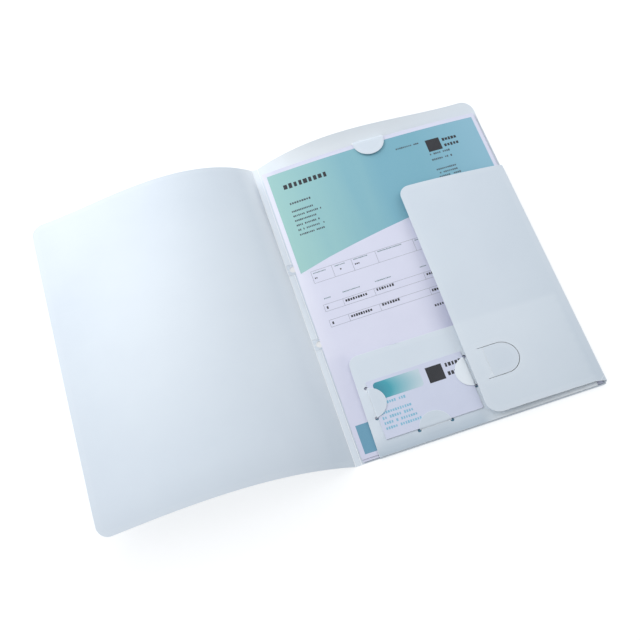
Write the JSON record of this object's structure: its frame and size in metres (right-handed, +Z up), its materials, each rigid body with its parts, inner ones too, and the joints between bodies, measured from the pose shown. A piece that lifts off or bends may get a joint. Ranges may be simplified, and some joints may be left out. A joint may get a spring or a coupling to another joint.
{
  "type": "presentation folder",
  "caption": "Open A4 presentation folder of creased plastic film with side and bottom flaps, filing tongues, cut tabs, loose sheets and a business card.",
  "frame": {"origin": "on the table, below the middle of the open folder's bounding box", "axes": "+X from the front cover across the spine to the back cover's outer edge, +Y from the foot to the head of the pages, +Z up from the table"},
  "size_m": [0.433, 0.3154, 0.0371],
  "materials": {
    "film": "cool bluish white, opaque, fine matt plastic film",
    "paper": "plain uncoated office paper",
    "printed_paper": "office paper with a printed head band and form lines",
    "card": "smooth printed card"
  },
  "bodies": {
    "back": {"back_cover": "film"},
    "spine": {"spine_strip_head": "film", "spine_strip_middle": "film", "spine_strip_foot": "film"},
    "front": {"front_cover": "film", "filing_tongue_upper": "film", "filing_tongue_lower": "film"},
    "head_tab": {"head_tab": "film"},
    "third_sheet": {"third_sheet": "paper"},
    "second_sheet": {"second_sheet": "paper"},
    "letter": {"letter_sheet": "printed_paper"},
    "side_gusset": {"side_gusset": "film"},
    "side_flap": {"side_flap": "film"},
    "side_flap_tongue": {"side_flap_tongue": "film"},
    "bottom_gusset": {"bottom_gusset": "film"},
    "bottom_flap": {"bottom_flap": "film"},
    "card_tab_left": {"card_tab_left": "film"},
    "card_tab_bottom": {"card_tab_bottom": "film"},
    "card_tab_right": {"card_tab_right": "film"},
    "card": {"business_card": "card"}
  },
  "joints": [
    {"name": "spine_fold", "type": "hinge", "parent": "back", "child": "spine", "pos_m": [0.00153, 0.00025, 0.0005], "axis": [0, 1, 0], "range_deg": [0, 90]},
    {"name": "cover_fold", "type": "hinge", "parent": "spine", "child": "front", "pos_m": [-0.00367, 0.00025, 0.0005], "axis": [0, 1, 0], "range_deg": [0, 90], "deforming": ["front_cover"]},
    {"name": "side_gusset_fold", "type": "hinge", "parent": "back", "child": "side_gusset", "pos_m": [0.21603, -0.03925, 0.0005], "axis": [0, 1, 0], "range_deg": [0, 90]},
    {"name": "side_flap_fold", "type": "hinge", "parent": "side_gusset", "child": "side_flap", "pos_m": [0.21603, -0.03925, 0.00413], "axis": [0, 1, 0], "range_deg": [0, 80]},
    {"name": "side_tongue_lift", "type": "hinge", "parent": "side_flap", "child": "side_flap_tongue", "pos_m": [0.12983, -0.10885, 0.00861], "axis": [0, -0.9998, -0.0217], "range_deg": [0, 75]},
    {"name": "bottom_gusset_fold", "type": "hinge", "parent": "back", "child": "bottom_gusset", "pos_m": [0.11533, -0.15725, 0.0005], "axis": [1, 0, 0], "range_deg": [0, 90], "deforming": ["bottom_flap"]},
    {"name": "bottom_flap_fold", "type": "hinge", "parent": "bottom_gusset", "child": "bottom_flap", "pos_m": [0.11533, -0.15725, 0.0025], "axis": [1, 0, 0], "range_deg": [0, 83], "deforming": ["bottom_flap"]},
    {"name": "card_tab_left_lift", "type": "hinge", "parent": "bottom_flap", "child": "card_tab_left", "pos_m": [0.02613, -0.10925, 0.00342], "axis": [0, -1, -0.0087], "range_deg": [0, 60]},
    {"name": "card_tab_bottom_lift", "type": "hinge", "parent": "bottom_flap", "child": "card_tab_bottom", "pos_m": [0.07024, -0.14555, 0.0031], "axis": [1, 0, 0], "range_deg": [0, 60]},
    {"name": "card_tab_right_lift", "type": "hinge", "parent": "bottom_flap", "child": "card_tab_right", "pos_m": [0.11393, -0.10925, 0.00342], "axis": [0, 1, 0.0087], "range_deg": [0, 60]},
    {"name": "card_slide", "type": "slide", "parent": "bottom_flap", "child": "card", "axis": [0, 1, 0.0087], "range_m": [0, 0.055]},
    {"name": "head_tab_lift", "type": "hinge", "parent": "back", "child": "head_tab", "pos_m": [0.10794, 0.14595, 0.0107], "axis": [-0.9979, 0, 0.0644], "range_deg": [0, 80]},
    {"name": "third_sheet_slide", "type": "slide", "parent": "back", "child": "third_sheet", "axis": [1, 0, 0], "range_m": [-0.0019, 0.0018]},
    {"name": "second_sheet_slide", "type": "slide", "parent": "back", "child": "second_sheet", "axis": [1, 0, 0], "range_m": [-0.0014, 0.0023]},
    {"name": "letter_slide", "type": "slide", "parent": "back", "child": "letter", "axis": [1, 0, 0], "range_m": [-0.001, 0.0027]}
  ]
}
